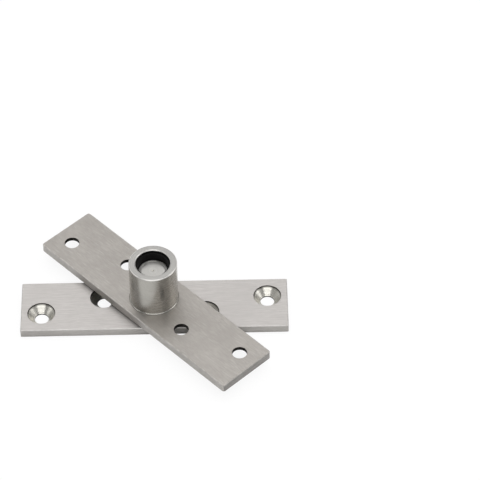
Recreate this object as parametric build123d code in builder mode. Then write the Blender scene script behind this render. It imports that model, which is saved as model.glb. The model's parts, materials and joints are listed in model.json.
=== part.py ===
from build123d import *

import os
from math import radians, tan

# Pivot door hinge: a base plate with a fixed pin, and a swing plate whose lined barrel turns on that pin.
# Millimetres, +Z up. The origin is on the pivot axis, at the underside of the base plate.

# Plates, both cut from the same flat bar
plate_length = 125
plate_width = 30
plate_thickness = 4.5
plate_edge_break = 0.3
base_corner_radius = 0.5
swing_corner_radius = 1.2
rest_swing = -47  # degrees from the base plate to the swing plate

# Screw holes, in the same pattern on both plates
base_screw_hole_diameter = 6.5
swing_screw_hole_diameter = 7
countersink_angle = 90
base_countersink_diameter = 13
base_countersink_drop = 0.6  # straight wall above the cone
swing_countersink_diameter = 12
outer_hole_end_margin = 9.5
outer_hole_side_margin = 10.75
inner_hole_from_axis = 23.75
inner_hole_side_margin = 10

# Pin, riveted into the base plate
pin_diameter = 14
pin_shoulder = 2  # radial seat on the base plate
pin_rivet_flare = 1.5  # radial growth of the head in its countersink under the base plate
pin_rivet_angle = 90
pin_end_chamfer = 0.3
pin_below_rim = 5.2
end_ring_side_margin = 1.05  # from the pin's side to the ring turned in its end
end_ring_width = 0.35
end_ring_depth = 0.2
lathe_centre_diameter = 1
lathe_centre_angle = 60
lathe_pilot_diameter = 0.4
lathe_pilot_depth = 1

# Barrel, bush and washer
barrel_height = 23.2  # above the swing plate
barrel_wall = 3.2
barrel_shoulder = 1.5  # radial seat on the swing plate
barrel_foot_round = 0.8
barrel_rim_chamfer = 0.4
barrel_lead_chamfer = 0.4
bush_wall = 1
bush_end_setback = 1.6  # from each end of the barrel
bush_split_gap = 0.4
bush_end_chamfer = 0.3
washer_thickness = 0.75
washer_side_margin = 2  # inside the plates' long edges

# Clearances
running_clearance = 0.05  # radial, pin in bush
washer_clearance = 0.1  # radial, washer on pin
thrust_clearance = 0.05  # axial, washer to swing plate

# Heights
base_top = plate_thickness
swing_bottom = base_top + washer_thickness + thrust_clearance
swing_top = swing_bottom + plate_thickness
barrel_top = swing_top + barrel_height
pin_top = barrel_top - pin_below_rim
rivet_depth = pin_rivet_flare / tan(radians(pin_rivet_angle / 2))
bush_length = barrel_top - swing_bottom - 2 * bush_end_setback

# Radii about the pivot axis
pin_radius = pin_diameter / 2
pin_spigot_radius = pin_radius - pin_shoulder
rivet_head_radius = pin_spigot_radius + pin_rivet_flare
end_ring_radius = pin_radius - end_ring_side_margin
bush_bore_radius = pin_radius + running_clearance
bush_radius = bush_bore_radius + bush_wall
barrel_radius = bush_radius + barrel_wall
barrel_spigot_radius = barrel_radius - barrel_shoulder
washer_radius = plate_width / 2 - washer_side_margin

# Screw hole centres on a plate, alternating either side of its middle line
outer_x = plate_length / 2 - outer_hole_end_margin
outer_y = plate_width / 2 - outer_hole_side_margin
inner_x = inner_hole_from_axis
inner_y = plate_width / 2 - inner_hole_side_margin
screw_points = [(-outer_x, -outer_y), (-inner_x, inner_y), (inner_x, -inner_y), (outer_x, outer_y)]

swing_plane = Plane.XY.offset(swing_bottom).rotated((0, 0, rest_swing))
bush_plane = swing_plane.offset(bush_end_setback)
face_down = (180, 0, 0)

os.makedirs("parts", exist_ok=True)


# Base plate: countersunk from above for its screws and from below for the rivet head of the pin
with BuildPart() as base_plate:
    with BuildSketch() as base_outline:
        RectangleRounded(plate_length, plate_width, base_corner_radius)
    extrude(amount=plate_thickness)
    chamfer(base_plate.faces().filter_by(Axis.Z).edges(), plate_edge_break)
    with Locations(*[(x, y, base_top - base_countersink_drop) for x, y in screw_points]):
        CounterSinkHole(
            base_screw_hole_diameter / 2,
            base_countersink_diameter / 2,
            counter_sink_angle=countersink_angle,
        )
    with Locations(Location((0, 0, 0), face_down)):
        CounterSinkHole(pin_spigot_radius, rivet_head_radius, counter_sink_angle=pin_rivet_angle)
base_plate.part.label = "base_plate"
export_step(base_plate.part, "parts/base_plate.step")


# Pivot pin: turned, with a spigot through the base plate that is riveted over flush with its underside
with BuildPart() as pivot_pin:
    with BuildSketch(Plane.XZ) as pin_section:
        with BuildLine():
            Polyline(
                (0, 0),
                (rivet_head_radius, 0),
                (pin_spigot_radius, rivet_depth),
                (pin_spigot_radius, base_top),
                (pin_radius, base_top),
                (pin_radius, pin_top),
                (0, pin_top),
                close=True,
            )
        make_face()
    revolve(axis=Axis.Z)
    chamfer(pivot_pin.faces().sort_by(Axis.Z)[-1].edges(), pin_end_chamfer)
    with BuildSketch(Plane.XY.offset(pin_top)) as end_ring:
        Circle(end_ring_radius)
        Circle(end_ring_radius - end_ring_width, mode=Mode.SUBTRACT)
    extrude(amount=-end_ring_depth, mode=Mode.SUBTRACT)
    with Locations((0, 0, pin_top)):
        CounterSinkHole(
            lathe_pilot_diameter / 2,
            lathe_centre_diameter / 2,
            depth=lathe_pilot_depth,
            counter_sink_angle=lathe_centre_angle,
        )
pivot_pin.part.label = "pivot_pin"
export_step(pivot_pin.part, "parts/pivot_pin.step")


# Thrust washer: keeps the plates apart and carries the swing plate
with BuildPart() as thrust_washer:
    with BuildSketch(Plane.XY.offset(base_top)) as washer_ring:
        Circle(washer_radius)
        Circle(pin_radius + washer_clearance, mode=Mode.SUBTRACT)
    extrude(amount=washer_thickness)
thrust_washer.part.label = "thrust_washer"
export_step(thrust_washer.part, "parts/thrust_washer.step")


# Swing plate: countersunk from below, with a round seat for the barrel
with BuildPart(swing_plane) as swing_plate:
    with BuildSketch(swing_plane) as swing_outline:
        RectangleRounded(plate_length, plate_width, swing_corner_radius)
        Circle(barrel_spigot_radius, mode=Mode.SUBTRACT)
    extrude(amount=plate_thickness)
    outer_loops = [face.outer_wire().edges() for face in swing_plate.faces().filter_by(Axis.Z)]
    chamfer([edge for loop in outer_loops for edge in loop], plate_edge_break)
    with Locations(*[Location((x, y, 0), face_down) for x, y in screw_points]):
        CounterSinkHole(
            swing_screw_hole_diameter / 2,
            swing_countersink_diameter / 2,
            counter_sink_angle=countersink_angle,
        )
swing_plate.part.label = "swing_plate"
export_step(swing_plate.part, "parts/swing_plate.step")


# Barrel: turned, its spigot pressed through the swing plate and its shoulder seated on top
with BuildPart() as barrel:
    with BuildSketch(Plane.XZ) as barrel_section:
        with BuildLine():
            Polyline(
                (bush_radius, swing_bottom),
                (barrel_spigot_radius, swing_bottom),
                (barrel_spigot_radius, swing_top),
                (barrel_radius, swing_top),
                (barrel_radius, barrel_top),
                (bush_radius, barrel_top),
                close=True,
            )
        make_face()
    revolve(axis=Axis.Z)
    rings = barrel.edges().filter_by(GeomType.CIRCLE).group_by(Axis.Z)
    lead_edge = rings[0].sort_by(SortBy.RADIUS)[-1]
    foot_edge = rings[1].sort_by(SortBy.RADIUS)[-1]
    rim_edges = rings[-1]
    fillet(foot_edge, barrel_foot_round)
    chamfer(rim_edges, barrel_rim_chamfer)
    chamfer(lead_edge, barrel_lead_chamfer)
barrel.part.label = "barrel"
export_step(barrel.part, "parts/barrel.step")


# Bearing bush: rolled from lined strip, so it has a narrow split along its length
with BuildPart() as bearing_bush:
    with BuildSketch(bush_plane) as bush_ring:
        Circle(bush_radius)
        Circle(bush_bore_radius, mode=Mode.SUBTRACT)
    extrude(amount=bush_length)
    end_rings = bearing_bush.edges().filter_by(GeomType.CIRCLE).group_by(Axis.Z)
    chamfer([ring.sort_by(SortBy.RADIUS)[-1] for ring in end_rings], bush_end_chamfer)
    with BuildSketch(bush_plane) as bush_split:
        with Locations((0, -bush_radius / 2)):
            Rectangle(bush_split_gap, bush_radius)
    extrude(amount=bush_length, mode=Mode.SUBTRACT)
bearing_bush.part.label = "bearing_bush"
export_step(bearing_bush.part, "parts/bearing_bush.step")
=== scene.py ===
import json
import math

import bpy
from mathutils import Matrix, Vector


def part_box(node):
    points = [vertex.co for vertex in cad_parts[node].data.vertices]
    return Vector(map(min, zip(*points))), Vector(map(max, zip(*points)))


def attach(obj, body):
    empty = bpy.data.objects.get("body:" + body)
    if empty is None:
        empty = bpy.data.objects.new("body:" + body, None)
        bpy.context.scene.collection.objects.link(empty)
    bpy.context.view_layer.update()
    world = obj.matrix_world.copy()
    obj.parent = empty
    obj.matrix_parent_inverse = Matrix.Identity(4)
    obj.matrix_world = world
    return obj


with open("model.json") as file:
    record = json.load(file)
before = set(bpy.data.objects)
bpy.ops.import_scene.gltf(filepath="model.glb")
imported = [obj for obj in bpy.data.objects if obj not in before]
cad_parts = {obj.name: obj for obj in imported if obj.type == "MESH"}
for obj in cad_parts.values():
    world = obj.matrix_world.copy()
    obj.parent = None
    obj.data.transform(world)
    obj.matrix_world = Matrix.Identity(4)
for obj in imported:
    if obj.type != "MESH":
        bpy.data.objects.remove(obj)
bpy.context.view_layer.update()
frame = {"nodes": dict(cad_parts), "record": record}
nodes = frame["nodes"]
print("frame:", ", ".join(sorted(nodes)))

mm = 0.001


# where the plates and their screw holes are, in millimetres, from the frame

def openingCentre(name):
    for opening in frame["record"]["physics"]["openings"]:
        if opening["name"] == name:
            low, high = opening["box_m"]
            return Vector([(a + b) / 2 / mm for a, b in zip(low, high)])


outerHole = openingCentre("base_outer_screw_a").to_2d()
innerHole = openingCentre("base_inner_screw_a").to_2d()
swungHole = openingCentre("swing_outer_screw_a").to_2d()
swingTurn = math.atan2(swungHole.y, swungHole.x) - math.atan2(outerHole.y, outerHole.x)
plateHalf = (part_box("base_plate")[1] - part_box("base_plate")[0]) / 2 / mm
baseMiddle = (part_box("base_plate")[1].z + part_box("base_plate")[0].z) / 2 / mm
swingMiddle = (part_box("swing_plate")[1].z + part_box("swing_plate")[0].z) / 2 / mm
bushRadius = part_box("bearing_bush")[1].x / mm
print("swing at rest:", round(math.degrees(swingTurn), 2), "degrees")


# small helpers for node trees

def plug(tree, made, key, value):
    if isinstance(value, bpy.types.NodeSocket):
        tree.links.new(value, made.inputs[key])
    else:
        made.inputs[key].default_value = value


def addNode(tree, kind, inputs=None, **settings):
    made = tree.nodes.new("ShaderNode" + kind)
    for name, value in settings.items():
        setattr(made, name, value)
    for key, value in (inputs or {}).items():
        plug(tree, made, key, value)
    return made


def calc(tree, operation, *values):
    return addNode(tree, "Math", dict(enumerate(values)), operation=operation).outputs[0]


def vectorCalc(tree, operation, *values):
    return addNode(tree, "VectorMath", dict(enumerate(values)), operation=operation).outputs[0]


def vectorLength(tree, vector):
    return addNode(tree, "VectorMath", {0: vector}, operation="LENGTH").outputs["Value"]


def turnAboutZ(tree, vector, angle):
    inputs = {"Vector": vector, "Angle": angle}
    return addNode(tree, "VectorRotate", inputs, rotation_type="Z_AXIS").outputs[0]


def ramp(tree, value, low, high, outLow=0.0, outHigh=1.0):
    values = dict(enumerate((value, low, high, outLow, outHigh)))
    return addNode(tree, "MapRange", values, interpolation_type="SMOOTHSTEP").outputs[0]


def noise(tree, vector, detail=2.0, roughness=0.5):
    inputs = {"Vector": vector, "Scale": 1.0, "Detail": detail, "Roughness": roughness}
    return addNode(tree, "TexNoise", inputs).outputs[0]


def mixColour(tree, factor, first, second):
    made = addNode(tree, "Mix", data_type="RGBA")
    plug(tree, made, 0, factor)
    for key, value in ((6, first), (7, second)):  # the node's two colour inputs
        plug(tree, made, key, value if isinstance(value, bpy.types.NodeSocket) else (*value, 1.0))
    return made.outputs[2]


def overlay(tree, colour, mask, share, second):
    return mixColour(tree, calc(tree, "MULTIPLY", mask, share), colour, second)


def newGroup(name, inputs, outputs):
    group = bpy.data.node_groups.new(name, "ShaderNodeTree")
    for label, kind in inputs.items():
        group.interface.new_socket(label, in_out="INPUT", socket_type="NodeSocket" + kind)
    for label in outputs:
        group.interface.new_socket(label, in_out="OUTPUT", socket_type="NodeSocketFloat")
    start = group.nodes.new("NodeGroupInput")
    end = group.nodes.new("NodeGroupOutput")
    return group, start.outputs, end.inputs


def useGroup(tree, group, **inputs):
    made = tree.nodes.new("ShaderNodeGroup")
    made.node_tree = group
    for key, value in inputs.items():
        plug(tree, made, key, value)
    return made.outputs


# helpers for new objects

def addObject(name, data):
    made = bpy.data.objects.new(name, data)
    bpy.context.scene.collection.objects.link(made)
    return made


def latheObject(name, profile, steps, closed=False):
    # a profile of (radius, height) turned about the pivot axis; a radius of 0 is one point
    points, rings, faces = [], [], []
    for reach, height in profile:
        count = steps if reach else 1
        rings.append([len(points) + step % count for step in range(steps + 1)])
        for step in range(count):
            angle = 2 * math.pi * step / steps
            points.append((reach * math.cos(angle), reach * math.sin(angle), height))
    for low, high in zip(rings, rings[1:] + rings[:1] if closed else rings[1:]):
        for step in range(steps):
            corners = (low[step], high[step], high[step + 1], low[step + 1])
            faces.append(tuple(dict.fromkeys(corners)))
    mesh = bpy.data.meshes.new(name)
    mesh.from_pydata(points, [], faces)
    mesh.shade_smooth()
    return addObject(name, mesh)


# effects that several finishes share; every Place is in millimetres

grainLook = dict(
    coarseScale=(0.4, 0.3, 0.3), fineScale=(3.1, 3.4, 3.4), fineDetail=1.0,
    coarseTone=0.1, mediumTone=0.5, fineTone=0.4, toneRange=(0.34, 0.66),
    mediumHeight=0.6, fineHeight=0.4,
    strayScale=(0.9, 1.6, 1.6), strayShift=(31.0, 17.0, 5.0), strayDetail=0.0,
    strayRange=(0.68, 0.76),
)


def makeBrushGrain(look):
    # belt strokes along the first axis of Place
    inputs = {"Place": "Vector", "Stroke": "Float", "Pitch": "Float"}
    tree, start, end = newGroup("brushGrain", inputs, ["Tone", "Hairlines", "Height"])
    along = calc(tree, "DIVIDE", 1.0, start["Stroke"])
    across = calc(tree, "DIVIDE", 1.0, start["Pitch"])
    scale = addNode(tree, "CombineXYZ", {0: along, 1: across, 2: across}).outputs[0]
    place = vectorCalc(tree, "MULTIPLY", start["Place"], scale)
    coarse = noise(tree, vectorCalc(tree, "MULTIPLY", place, look["coarseScale"]))
    medium = noise(tree, place)
    fine = noise(tree, vectorCalc(tree, "MULTIPLY", place, look["fineScale"]), look["fineDetail"])
    tone = calc(tree, "MULTIPLY", medium, look["mediumTone"])
    tone = calc(tree, "MULTIPLY_ADD", coarse, look["coarseTone"], tone)
    tone = calc(tree, "MULTIPLY_ADD", fine, look["fineTone"], tone)
    tree.links.new(ramp(tree, tone, *look["toneRange"]), end["Tone"])
    strayPlace = vectorCalc(tree, "MULTIPLY_ADD", place, look["strayScale"], look["strayShift"])
    stray = noise(tree, strayPlace, look["strayDetail"])
    tree.links.new(ramp(tree, stray, *look["strayRange"]), end["Hairlines"])
    height = calc(tree, "MULTIPLY", medium, look["mediumHeight"])
    height = calc(tree, "MULTIPLY_ADD", fine, look["fineHeight"], height)
    tree.links.new(height, end["Height"])
    return tree


hazeLook = dict(detail=4.0, roughness=0.55, hazeRange=(0.36, 0.68))


def makeHandling(look):
    # faint blotches from fingers and polish
    tree, start, end = newGroup("handling", {"Place": "Vector", "Size": "Float"}, ["Haze"])
    inputs = {0: start["Place"], "Scale": calc(tree, "DIVIDE", 1.0, start["Size"])}
    spread = addNode(tree, "VectorMath", inputs, operation="SCALE").outputs[0]
    broad = noise(tree, spread, look["detail"], look["roughness"])
    tree.links.new(ramp(tree, broad, *look["hazeRange"]), end["Haze"])
    return tree


ringLook = dict(reachShare=1.37, detail=3.0, roughness=0.65, ringRange=(0.3, 0.7))


def makeTurnedMarks(look):
    # rings of a cutting tool about the third axis of Place, on walls and faced ends alike
    inputs = {"Place": "Vector", "Pitch": "Float"}
    tree, start, end = newGroup("turnedMarks", inputs, ["Rings", "Height"])
    reach = vectorLength(tree, vectorCalc(tree, "MULTIPLY", start["Place"], (1.0, 1.0, 0.0)))
    depth = addNode(tree, "SeparateXYZ", {0: start["Place"]}).outputs[2]
    travel = calc(tree, "MULTIPLY_ADD", reach, look["reachShare"], depth)
    turns = calc(tree, "DIVIDE", travel, start["Pitch"])
    along = addNode(tree, "CombineXYZ", {0: turns}).outputs[0]
    rings = noise(tree, along, look["detail"], look["roughness"])
    tree.links.new(ramp(tree, rings, *look["ringRange"]), end["Rings"])
    tree.links.new(rings, end["Height"])
    return tree


edgeBandLook = dict(
    patchScale=(0.5, 0.5, 0.5), detail=3.0, roughness=0.6,
    patchRange=(0.3, 0.75), widthRange=(0.35, 1.3),
)


def makeEdgeRub(look):
    # a band along the arrises of a plate, Place being from the plate's middle
    inputs = {"Place": "Vector", "Half": "Vector", "Width": "Float"}
    tree, start, end = newGroup("edgeRub", inputs, ["Rub"])
    fromMiddle = vectorCalc(tree, "ABSOLUTE", start["Place"])
    inside = vectorCalc(tree, "SUBTRACT", start["Half"], fromMiddle)
    a, b, c = addNode(tree, "SeparateXYZ", {0: inside}).outputs[:3]
    low, high = calc(tree, "MINIMUM", a, b), calc(tree, "MAXIMUM", a, b)
    edge = calc(tree, "MAXIMUM", low, calc(tree, "MINIMUM", high, c))  # the second nearest side
    patches = vectorCalc(tree, "MULTIPLY", start["Place"], look["patchScale"])
    uneven = noise(tree, patches, look["detail"], look["roughness"])
    spread = ramp(tree, uneven, *look["patchRange"], *look["widthRange"])
    reach = calc(tree, "MULTIPLY", start["Width"], spread)
    tree.links.new(ramp(tree, edge, 0.0, reach, 1.0, 0.0), end["Rub"])
    return tree


pitLook = dict(chanceRange=(0.72, 1.0), sizeRange=(0.0, 0.055))  # sizes are shares of the spacing


def makePits(look):
    # sparse small nicks
    tree, start, end = newGroup("pits", {"Place": "Vector", "Spacing": "Float"}, ["Nicks"])
    inputs = {"Vector": start["Place"], "Randomness": 1.0}
    cells = addNode(tree, "TexVoronoi", inputs, feature="F1")
    plug(tree, cells, "Scale", calc(tree, "DIVIDE", 1.0, start["Spacing"]))
    chance = addNode(tree, "SeparateColor", {0: cells.outputs["Color"]}).outputs[0]
    size = ramp(tree, chance, *look["chanceRange"], *look["sizeRange"])
    tree.links.new(calc(tree, "LESS_THAN", cells.outputs["Distance"], size), end["Nicks"])
    return tree


effects = {
    "brushGrain": makeBrushGrain(grainLook),
    "handling": makeHandling(hazeLook),
    "turnedMarks": makeTurnedMarks(ringLook),
    "edgeRub": makeEdgeRub(edgeBandLook),
    "pits": makePits(pitLook),
}
print("effects:", ", ".join(effects))


# materials

arrisSamples = 4
quarterTurn = 0.25  # lays the sheen across the turned marks


def newMaterial(name):
    material = bpy.data.materials.new(name)
    material.use_nodes = True
    tree = material.node_tree
    return material, tree, tree.nodes["Principled BSDF"]


def platePlace(tree, turn):
    # object coordinates in millimetres, turned so that the first axis runs along the plate
    place = turnAboutZ(tree, addNode(tree, "TexCoord").outputs["Object"], -turn)
    return vectorCalc(tree, "MULTIPLY", place, (1 / mm, 1 / mm, 1 / mm))


def toWorld(tree, vector):
    # tangents are worked out on the piece, so that they turn with it
    made = addNode(tree, "VectorTransform", {0: vector}, vector_type="VECTOR")
    made.convert_from, made.convert_to = "OBJECT", "WORLD"
    return made.outputs[0]


def addRelief(tree, shader, height, look):
    # fine relief over slightly rounded arrises
    radius = {"Radius": look["edgeRound"] * mm}
    rounded = addNode(tree, "Bevel", radius, samples=arrisSamples).outputs[0]
    depth = look["bumpDepth"] * mm
    inputs = {"Height": height, "Strength": 1.0, "Distance": depth, "Normal": rounded}
    tree.links.new(addNode(tree, "Bump", inputs).outputs[0], shader.inputs["Normal"])


def brushedSteel(look):
    material, tree, shader = newMaterial(look["name"])
    place = platePlace(tree, look["turn"])
    strokes = turnAboutZ(tree, place, look["grainTurn"])
    centred = vectorCalc(tree, "SUBTRACT", place, (0, 0, look["middle"]))
    edge = dict(Place=centred, Half=tuple(plateHalf))
    grain = useGroup(
        tree, effects["brushGrain"], Place=strokes, Stroke=look["stroke"], Pitch=look["pitch"],
    )
    haze = useGroup(tree, effects["handling"], Place=place, Size=look["hazeSize"])["Haze"]
    rubHighlight = useGroup(tree, effects["edgeRub"], **edge, Width=look["rubHighlightWidth"])["Rub"]
    border = useGroup(tree, effects["edgeRub"], **edge, Width=look["nickReach"])["Rub"]
    nicks = useGroup(tree, effects["pits"], Place=centred, Spacing=look["nickSpacing"])["Nicks"]
    nicks = calc(tree, "MULTIPLY", nicks, border)  # only near the edges
    colour = mixColour(tree, grain["Tone"], look["dark"], look["light"])
    colour = overlay(tree, colour, haze, look["hazeMix"], look["hazeColour"])
    colour = overlay(tree, colour, grain["Hairlines"], look["hairMix"], look["hairColour"])
    # rubbed bare metal along the arrises, lightened further as a painted highlight
    colour = overlay(tree, colour, rubHighlight, look["rubHighlightMix"], look["rubHighlightColour"])
    colour = overlay(tree, colour, nicks, look["nickMix"], look["nickColour"])
    tree.links.new(colour, shader.inputs["Base Color"])
    rough = ramp(tree, grain["Tone"], 0.0, 1.0, look["roughHigh"], look["roughLow"])
    rough = calc(tree, "MULTIPLY_ADD", haze, look["hazeRough"], rough)
    rough = calc(tree, "MULTIPLY_ADD", rubHighlight, -look["rubSmooth"], rough)
    tree.links.new(rough, shader.inputs["Roughness"])
    shader.inputs["Metallic"].default_value = look["metallic"]
    shader.inputs["Anisotropic"].default_value = look["anisotropy"]
    across = look["turn"] + look["acrossTurn"]
    spread = {0: math.cos(across), 1: math.sin(across), 2: look["acrossRise"]}
    tangent = toWorld(tree, addNode(tree, "CombineXYZ", spread).outputs[0])
    tree.links.new(tangent, shader.inputs["Tangent"])
    addRelief(tree, shader, grain["Height"], look)
    return material


def turnedSteel(look):
    material, tree, shader = newMaterial(look["name"])
    place = platePlace(tree, 0.0)
    marks = useGroup(tree, effects["turnedMarks"], Place=place, Pitch=look["pitch"])
    haze = useGroup(tree, effects["handling"], Place=place, Size=look["hazeSize"])["Haze"]
    nicks = useGroup(tree, effects["pits"], Place=place, Spacing=look["nickSpacing"])["Nicks"]
    colour = mixColour(tree, marks["Rings"], look["dark"], look["light"])
    colour = overlay(tree, colour, haze, look["hazeMix"], look["hazeColour"])
    colour = overlay(tree, colour, nicks, look["nickMix"], look["nickColour"])
    tree.links.new(colour, shader.inputs["Base Color"])
    rough = ramp(tree, marks["Rings"], 0.0, 1.0, look["roughHigh"], look["roughLow"])
    rough = calc(tree, "MULTIPLY_ADD", haze, look["hazeRough"], rough)
    tree.links.new(rough, shader.inputs["Roughness"])
    shader.inputs["Metallic"].default_value = look["metallic"]
    shader.inputs["Specular IOR Level"].default_value = look["specular"]
    shader.inputs["Anisotropic"].default_value = look["anisotropy"]
    shader.inputs["Anisotropic Rotation"].default_value = quarterTurn
    tangent = addNode(tree, "Tangent", direction_type="RADIAL", axis="Z")
    tree.links.new(tangent.outputs[0], shader.inputs["Tangent"])
    addRelief(tree, shader, marks["Height"], look)
    return material


def seatSteel(look):
    # the screw seats, turned about whichever hole is nearest; the holes repeat at half a turn
    material, tree, shader = newMaterial(look["name"])
    x, y, z = addNode(tree, "SeparateXYZ", {0: platePlace(tree, look["turn"])}).outputs[:3]
    side = calc(tree, "SIGN", x)
    halfWay = (outerHole.x + innerHole.x) / 2
    isOuter = calc(tree, "GREATER_THAN", calc(tree, "ABSOLUTE", x), halfWay)
    holeX = calc(tree, "MULTIPLY_ADD", isOuter, outerHole.x - innerHole.x, innerHole.x)
    holeY = calc(tree, "MULTIPLY_ADD", isOuter, outerHole.y - innerHole.y, innerHole.y)
    offX = calc(tree, "SUBTRACT", x, calc(tree, "MULTIPLY", side, holeX))
    offY = calc(tree, "SUBTRACT", y, calc(tree, "MULTIPLY", side, holeY))
    fromHole = addNode(tree, "CombineXYZ", {0: offX, 1: offY, 2: z}).outputs[0]
    marks = useGroup(tree, effects["turnedMarks"], Place=fromHole, Pitch=look["pitch"])
    reach = vectorLength(tree, addNode(tree, "CombineXYZ", {0: offX, 1: offY}).outputs[0])
    # painted shade: a dark ring just inside the rim of each seat, where the step at its top lies in
    # shade
    unshadedReach = look["rim"] - look["rimShadeWidth"]
    rimShade = ramp(tree, reach, unshadedReach, look["rim"], 0.0, look["rimShadeMix"])
    colour = mixColour(tree, marks["Rings"], look["dark"], look["light"])
    colour = mixColour(tree, rimShade, colour, look["rimShadeColour"])
    tree.links.new(colour, shader.inputs["Base Color"])
    rough = ramp(tree, marks["Rings"], 0.0, 1.0, look["roughHigh"], look["roughLow"])
    tree.links.new(rough, shader.inputs["Roughness"])
    shader.inputs["Metallic"].default_value = look["metallic"]
    shader.inputs["Anisotropic"].default_value = look["anisotropy"]
    shader.inputs["Anisotropic Rotation"].default_value = quarterTurn
    backY = calc(tree, "MULTIPLY", offY, -1.0)
    around = addNode(tree, "CombineXYZ", {0: backY, 1: offX}).outputs[0]
    tangent = toWorld(tree, turnAboutZ(tree, around, look["turn"]))
    tree.links.new(tangent, shader.inputs["Tangent"])
    addRelief(tree, shader, marks["Height"], look)
    return material


# plate finishes, lengths in millimetres; metallic below 1 lets the satin scatter part of the light

baseFace = dict(
    name="baseFaceSteel", turn=0.0, middle=baseMiddle, grainTurn=0.0, stroke=9.0, pitch=0.5,
    acrossTurn=math.pi / 2, acrossRise=0.0,  # the way that the sheen spreads
    metallic=0.6, anisotropy=0.6, roughLow=0.36, roughHigh=0.42, bumpDepth=0.004, edgeRound=0.3,
    dark=(0.43, 0.41, 0.395), light=(0.53, 0.507, 0.49),
    hazeSize=26.0, hazeMix=0.6, hazeColour=(0.455, 0.435, 0.42), hazeRough=0.05,
    hairMix=0.3, hairColour=(0.58, 0.56, 0.54),
    rubHighlightWidth=0.8, rubHighlightMix=0.7, rubHighlightColour=(0.58, 0.565, 0.545), rubSmooth=0.10,
    nickReach=3.0, nickSpacing=5.0, nickMix=0.75, nickColour=(0.13, 0.125, 0.12),
)
# painted shade: the swing plate's top is coloured darker than the base plate's, for the way its
# turned grain takes the light
swingFaceShaded = dict(
    baseFace, name="swingFaceShadedSteel", turn=swingTurn, middle=swingMiddle, stroke=4.0, pitch=0.55,
    metallic=0.9, edgeRound=0.2, dark=(0.38, 0.358, 0.334), light=(0.445, 0.42, 0.393),
    hazeSize=12.0, hazeColour=(0.376, 0.354, 0.33),
    rubHighlightWidth=0.7, rubHighlightMix=0.8, rubHighlightColour=(0.62, 0.598, 0.57),
)
sideTones = dict(
    pitch=0.6, acrossTurn=0.0, acrossRise=20.0, metallic=1.0, roughLow=0.34, roughHigh=0.44,
    dark=(0.43, 0.414, 0.396), light=(0.51, 0.494, 0.475),
    hazeColour=(0.40, 0.382, 0.36), hairColour=(0.56, 0.54, 0.52),
    rubHighlightMix=0.5, rubHighlightColour=(0.56, 0.54, 0.52),
)
# painted shade: the plates' ends are coloured darker than their sides
endShadeTones = dict(
    sideTones, stroke=9.0, grainTurn=math.pi / 2,
    dark=(0.25, 0.24, 0.229), light=(0.33, 0.316, 0.303), hazeColour=(0.26, 0.247, 0.232),
)
underShadeTones = dict(  # the undersides, coloured dark as painted shade
    metallic=1.0, anisotropy=0.2, roughLow=0.48, roughHigh=0.58,
    dark=(0.19, 0.182, 0.174), light=(0.25, 0.24, 0.23), hazeColour=(0.17, 0.162, 0.154),
    hairMix=0.1, rubHighlightMix=0.4,
)
baseUnderShade = {**baseFace, **underShadeTones, "name": "baseUnderShadeSteel"}
baseSide = {**baseFace, **sideTones, "name": "baseSideSteel"}
baseEndShade = {**baseFace, **endShadeTones, "name": "baseEndShadeSteel"}
swingUnderShade = {**swingFaceShaded, **underShadeTones, "name": "swingUnderShadeSteel"}
# painted light: the swing plate's sides are coloured lighter than the base plate's sides
swingSideLit = {
    **swingFaceShaded, **sideTones, "name": "swingSideLitSteel",
    "dark": (0.455, 0.436, 0.414), "light": (0.535, 0.514, 0.49),
}
swingEndShade = {**swingFaceShaded, **endShadeTones, "name": "swingEndShadeSteel"}
# the seats are machined with rings, and their colour is lighter than steel: painted light on the
# cones
baseSeatLit = dict(
    name="baseSeatLitSteel", turn=0.0, pitch=0.6, dark=(0.52, 0.505, 0.46), light=(0.86, 0.842, 0.785),
    metallic=0.97, anisotropy=0.85, roughLow=0.26, roughHigh=0.36, bumpDepth=0.006, edgeRound=0.15,
    # the dark ring just inside the rim is painted shade
    rim=6.5, rimShadeWidth=0.6, rimShadeMix=0.85, rimShadeColour=(0.04, 0.036, 0.031),  # rim is a radius
)
swingSeatLit = dict(baseSeatLit, name="swingSeatLitSteel", turn=swingTurn, rim=6.0)
# painted shade: the drilled walls of the screw holes are coloured near black for the shade inside
# them
baseDrilledShade = dict(
    baseSeatLit, name="baseDrilledShadeSteel", dark=(0.02, 0.019, 0.017), light=(0.06, 0.057, 0.052),
    metallic=1.0, anisotropy=0.0, roughLow=0.35, roughHigh=0.5,
)
swingDrilledShade = dict(baseDrilledShade, name="swingDrilledShadeSteel", turn=swingTurn)

# turned finishes, lengths in millimetres

barrelWall = dict(
    name="barrelSteel", pitch=0.3, dark=(0.385, 0.374, 0.345), light=(0.455, 0.442, 0.408),
    metallic=1.0, specular=0.5, anisotropy=0.45, roughLow=0.2, roughHigh=0.28,
    bumpDepth=0.003, edgeRound=0.35,
    hazeSize=9.0, hazeMix=0.2, hazeColour=(0.36, 0.347, 0.33), hazeRough=0.05,
    nickSpacing=7.0, nickMix=0.7, nickColour=(0.2, 0.19, 0.18),
)
rimFace = dict(
    barrelWall, name="rimSteel", pitch=0.45, dark=(0.37, 0.362, 0.348), light=(0.43, 0.422, 0.407),
    roughLow=0.26, roughHigh=0.36, bumpDepth=0.005,
)
# painted highlight: the barrel's rim chamfer is coloured far lighter than the rim
rimArrisHighlight = dict(
    rimFace, name="rimArrisHighlightSteel", dark=(0.68, 0.665, 0.64), light=(0.78, 0.765, 0.74),
    roughLow=0.4, roughHigh=0.5,
)
pinEnd = dict(
    rimFace, name="pinEndSteel", pitch=0.8, dark=(0.41, 0.402, 0.384), light=(0.54, 0.53, 0.51),
    bumpDepth=0.012,
)
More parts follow.
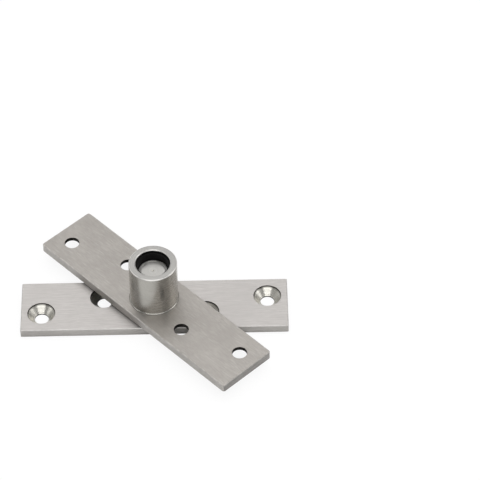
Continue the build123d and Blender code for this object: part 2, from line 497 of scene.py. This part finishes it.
# painted light: the pin's lathe centre is coloured pale so that its small hollow does not read dark
centreLightLook = dict(
    barrelWall, name="centrePaintedLight", dark=(0.62, 0.60, 0.55), light=(0.76, 0.74, 0.69),
    metallic=0.0, anisotropy=0.0, roughLow=0.45, roughHigh=0.6, hazeMix=0.0, nickMix=0.0,
)
# the bush's near-black lining; the same colour on the barrel's steel bore is painted shade
liningAndBoreShadeLook = dict(
    barrelWall, name="bushLiningAndBoreShade", dark=(0.005, 0.0046, 0.0044), light=(0.012, 0.011, 0.0105),
    metallic=0.0, specular=0.1, anisotropy=0.0, roughLow=0.5, roughHigh=0.65,
    hazeColour=(0.009, 0.0082, 0.0078), nickMix=0.0,
)
brassLook = dict(
    barrelWall, name="washerBrass", pitch=0.6, dark=(0.50, 0.35, 0.15), light=(0.60, 0.43, 0.20),
    roughLow=0.26, roughHigh=0.36, hazeMix=0.5, hazeColour=(0.40, 0.26, 0.11),
)


# which finish each face takes, from its place and from how far its normal points up or down

faceLimits = dict(
    seatMargin=0.2, seatLean=0.95, drilledShadeLean=0.1,  # round the screw holes
    sideLean=0.3, endShare=0.7, facedLean=0.9,
    boreMargin=0.15, centreRadius=0.55,  # in the barrel, and at the pin's lathe centre
)


def paint(name, finishes, choose):
    mesh = nodes[name].data
    mesh.materials.clear()
    order = list(finishes)
    for key in order:
        mesh.materials.append(finishes[key])
    for face in mesh.polygons:
        face.material_index = order.index(choose(face.center / mm, face.normal))
    print("painted:", name, "with", ", ".join(order))


def plateFace(seat):
    turnBack = Matrix.Rotation(-seat["turn"], 3, "Z")
    seatRadius = seat["rim"] + faceLimits["seatMargin"]

    def choose(centre, normal):
        local, lean = turnBack @ centre, abs(normal.z)
        side = 1 if local.x > 0 else -1
        reach = min((local.to_2d() - side * hole).length for hole in (outerHole, innerHole))
        if reach < seatRadius and lean < faceLimits["seatLean"]:
            return "drilledShade" if lean < faceLimits["drilledShadeLean"] else "seat"
        if lean > faceLimits["sideLean"]:
            return "face" if normal.z > 0 else "under"
        return "end" if abs((turnBack @ normal).x) > faceLimits["endShare"] else "side"

    return choose


def turnedFace(normal):
    return "faced" if abs(normal.z) > faceLimits["facedLean"] else "wall"


def barrelFace(centre, normal):
    # the barrel's bore takes the lining's near-black colour as painted shade
    inBore = centre.to_2d().length < bushRadius + faceLimits["boreMargin"]
    if inBore and abs(normal.z) < faceLimits["sideLean"]:
        return "boreShade"
    if faceLimits["sideLean"] < normal.z < faceLimits["facedLean"]:
        return "arrisHighlight"
    return turnedFace(normal)


def pinFace(centre, normal):
    if centre.to_2d().length < faceLimits["centreRadius"] and centre.z > baseMiddle:
        return "centre"
    return turnedFace(normal)


paint(
    "base_plate",
    {
        "face": brushedSteel(baseFace), "under": brushedSteel(baseUnderShade),
        "side": brushedSteel(baseSide), "end": brushedSteel(baseEndShade),
        "seat": seatSteel(baseSeatLit), "drilledShade": seatSteel(baseDrilledShade),
    },
    plateFace(baseSeatLit),
)
paint(
    "swing_plate",
    {
        "face": brushedSteel(swingFaceShaded), "under": brushedSteel(swingUnderShade),
        "side": brushedSteel(swingSideLit), "end": brushedSteel(swingEndShade),
        "seat": seatSteel(swingSeatLit), "drilledShade": seatSteel(swingDrilledShade),
    },
    plateFace(swingSeatLit),
)
wallSteel, liningAndBoreShade = turnedSteel(barrelWall), turnedSteel(liningAndBoreShadeLook)
paint(
    "barrel",
    {
        "wall": wallSteel, "faced": turnedSteel(rimFace),
        "arrisHighlight": turnedSteel(rimArrisHighlight), "boreShade": liningAndBoreShade,
    },
    barrelFace,
)
paint(
    "pivot_pin",
    {"wall": wallSteel, "faced": turnedSteel(pinEnd), "centre": turnedSteel(centreLightLook)},
    pinFace,
)
paint("bearing_bush", {"liningAndBoreShade": liningAndBoreShade}, lambda centre, normal: "liningAndBoreShade")
paint("thrust_washer", {"brass": turnedSteel(brassLook)}, lambda centre, normal: "brass")


# the burnished lip where the barrel's foot was set down on the plate, in millimetres

footLip = dict(name="barrelFootLip", overlap=0.1, reach=0.45, rise=0.65, edge=0.15, steps=128)


def makeFootLip(look, finish):
    radius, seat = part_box("barrel")[1].x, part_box("swing_plate")[1].z
    inner, outer = radius - look["overlap"] * mm, radius + look["reach"] * mm
    profile = [
        (inner, seat), (outer, seat), (outer, seat + look["edge"] * mm),
        (radius, seat + look["rise"] * mm), (inner, seat + look["rise"] * mm),
    ]
    lip = latheObject(look["name"], profile, look["steps"], closed=True)
    lip.data.materials.append(finish)
    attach(lip, "leaf")
    print("lip:", len(lip.data.polygons), "faces")


makeFootLip(footLip, wallSteel)


# a white sweep that the hinge lies on, in metres

sweepLook = dict(
    name="studioSweep", radius=3.0, bend=0.5, bendSteps=8, wall=0.8, steps=96,
    colour=(0.90, 0.90, 0.90), roughness=0.9, glow=0.88, glowStrength=1.02,
)


def makeSweep(look):
    radius, bend = look["radius"], look["bend"]
    profile = [(0.0, 0.0), (radius, 0.0)]
    for step in range(1, look["bendSteps"] + 1):
        angle = math.pi / 2 * step / look["bendSteps"]
        profile.append((radius + bend * math.sin(angle), bend * (1 - math.cos(angle))))
    profile.append((profile[-1][0], bend + look["wall"]))
    sweep = latheObject(look["name"], profile, look["steps"])
    material, tree, shader = newMaterial(look["name"])
    shader.inputs["Base Color"].default_value = (*look["colour"], 1.0)
    shader.inputs["Roughness"].default_value = look["roughness"]
    shader.inputs["Specular IOR Level"].default_value = 0.0
    # seen straight on it is close to an even white; the steel mirrors it as the lamps light it
    path = addNode(tree, "LightPath").outputs
    seen = calc(tree, "MAXIMUM", path["Is Camera Ray"], path["Is Transmission Ray"])
    glow = addNode(tree, "Emission", {"Strength": look["glowStrength"]}).outputs[0]
    inputs = {0: calc(tree, "MULTIPLY", seen, look["glow"]), 1: shader.outputs[0], 2: glow}
    mixed = addNode(tree, "MixShader", inputs).outputs[0]
    tree.links.new(mixed, tree.nodes["Material Output"].inputs["Surface"])
    sweep.data.materials.append(material)
    print("sweep:", len(sweep.data.polygons), "faces")


makeSweep(sweepLook)


# soft studio light: azimuth from the front and elevation in degrees, distance and size in metres

roomLook = dict(name="studioRoom", colour=(1.0, 1.0, 1.0, 1.0), strength=0.25)
lamps = [
    dict(name="overhead", azimuth=180, elevation=86, distance=2.0, size=(1.4, 1.4), radiance=2.04),
    dict(name="backTop", azimuth=160, elevation=62, distance=2.2, size=(2.8, 1.8), radiance=0.92),
    dict(name="frontBox", azimuth=-1, elevation=45, distance=2.0, size=(2.1, 1.0), radiance=1.8),
    dict(name="leftSide", azimuth=-112, elevation=40, distance=2.0, size=(1.0, 1.0), radiance=0.5),
    dict(name="leftBack", azimuth=-145, elevation=38, distance=2.0, size=(1.2, 1.0), radiance=0.95),
    dict(name="leftLow", azimuth=-80, elevation=24, distance=2.0, size=(0.9, 0.6), radiance=1.3),
    dict(name="rightLow", azimuth=90, elevation=24, distance=2.0, size=(0.9, 0.6), radiance=0.9),
    dict(name="rightSide", azimuth=99, elevation=44, distance=2.0, size=(0.9, 1.0), radiance=1.9),
]


def makeRoom(look):
    world = bpy.data.worlds.new(look["name"])
    world.use_nodes = True
    background = world.node_tree.nodes["Background"]
    background.inputs["Color"].default_value = look["colour"]
    background.inputs["Strength"].default_value = look["strength"]
    bpy.context.scene.world = world


def makeLamp(look):
    light = bpy.data.lights.new(look["name"], "AREA")
    light.shape = "RECTANGLE"
    width, height = look["size"]
    light.size, light.size_y = width, height
    light.energy = look["radiance"] * math.pi * width * height
    azimuth, elevation = math.radians(look["azimuth"]), math.radians(look["elevation"])
    flat = math.cos(elevation)
    away = Vector((math.sin(azimuth) * flat, -math.cos(azimuth) * flat, math.sin(elevation)))
    made = addObject(look["name"], light)
    made.location = away * look["distance"]
    made.rotation_mode = "QUATERNION"
    made.rotation_quaternion = (-away).to_track_quat("-Z", "Y")


makeRoom(roomLook)
for lamp in lamps:
    makeLamp(lamp)
print("lamps:", ", ".join(lamp["name"] for lamp in lamps))


# camera at the photograph's place: eye, aim, lens and sensor in millimetres, clipping in metres

cameraLook = dict(
    name="photoCamera", eye=(32.5, -885.94, 974.63), aim=(40.86, 44.97, 0.0), rollDegrees=-0.748,
    lens=210.0, sensor=36.0, clipNear=0.05, clipFar=50.0,
)


def makeCamera(look):
    data = bpy.data.cameras.new(look["name"])
    data.lens, data.sensor_width = look["lens"], look["sensor"]
    data.clip_start, data.clip_end = look["clipNear"], look["clipFar"]
    eye, aim = Vector(look["eye"]) * mm, Vector(look["aim"]) * mm
    back = (eye - aim).normalized()
    right = Vector((0, 0, 1)).cross(back).normalized()
    up = back.cross(right)
    roll = math.radians(look["rollDegrees"])
    rolledRight = right * math.cos(roll) + up * math.sin(roll)
    rolledUp = up * math.cos(roll) - right * math.sin(roll)
    turn = Matrix((rolledRight, rolledUp, back)).transposed().to_4x4()
    made = addObject(look["name"], data)
    made.matrix_world = Matrix.Translation(eye) @ turn
    bpy.context.scene.camera = made


makeCamera(cameraLook)
bpy.context.scene.view_settings.view_transform = "Standard"
print("camera set")
